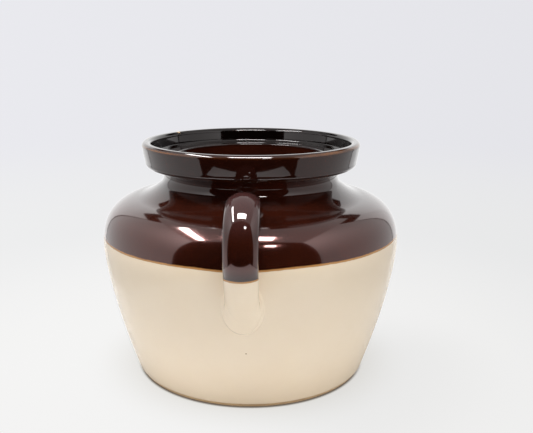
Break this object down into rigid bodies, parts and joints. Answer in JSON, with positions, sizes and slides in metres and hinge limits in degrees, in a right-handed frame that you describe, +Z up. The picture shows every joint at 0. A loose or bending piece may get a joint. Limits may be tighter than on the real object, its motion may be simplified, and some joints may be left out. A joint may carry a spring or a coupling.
{
  "type": "stoneware crock",
  "caption": "Squat stoneware butter crock: flat foot, swelling wall, round shoulder, short neck, tall collar with a ledge for a lid, and an ear handle; brown glaze above cream.",
  "frame": {"origin": "centre of the flat foot, on the surface that the crock stands on", "axes": "+Z up along the crock's turning axis; the handle points along -Y; X is across the handle"},
  "size_m": [0.2052, 0.2267, 0.1594],
  "materials": {
    "cream_glaze": "smooth cream stoneware glaze with a soft gloss, bare tan clay at the foot's edge",
    "brown_glaze": "high-gloss dark red-brown glaze that breaks to ochre on edges and at the glaze line"
  },
  "bodies": {
    "root": {"lower_bowl": "cream_glaze", "shoulder": "brown_glaze", "neck": "brown_glaze", "collar": "brown_glaze", "handle": "brown_glaze", "handle_upper_root": "brown_glaze", "handle_lower_root": "cream_glaze"}
  },
  "joints": []
}
